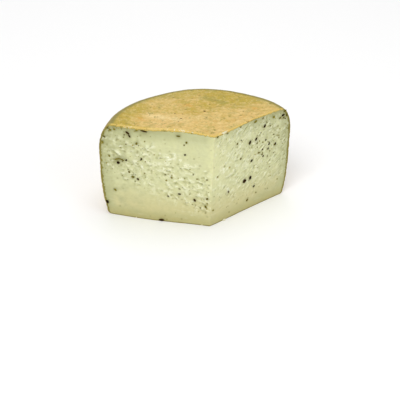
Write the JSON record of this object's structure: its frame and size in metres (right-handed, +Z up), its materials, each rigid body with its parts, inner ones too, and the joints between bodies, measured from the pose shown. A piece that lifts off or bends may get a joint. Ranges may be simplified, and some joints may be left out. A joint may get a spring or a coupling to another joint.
{
  "type": "goat cheese portion",
  "caption": "Cut portion of a wheel of semi-hard herb goat cheese: two craggy cut faces meet at an upright front edge under a waxy rind; rests on its flat base.",
  "frame": {"origin": "the whole wheel's axis, on the flat base", "axes": "+Z up, -Y towards the front edge where the two cuts meet, +X to the right seen from the front"},
  "size_m": [0.184, 0.1138, 0.0998],
  "materials": {
    "cheese": "pale greenish-cream paste with dark herb flecks on the cuts, satin peach-olive rind elsewhere"
  },
  "bodies": {
    "root": {"cheese": "cheese"}
  },
  "joints": []
}
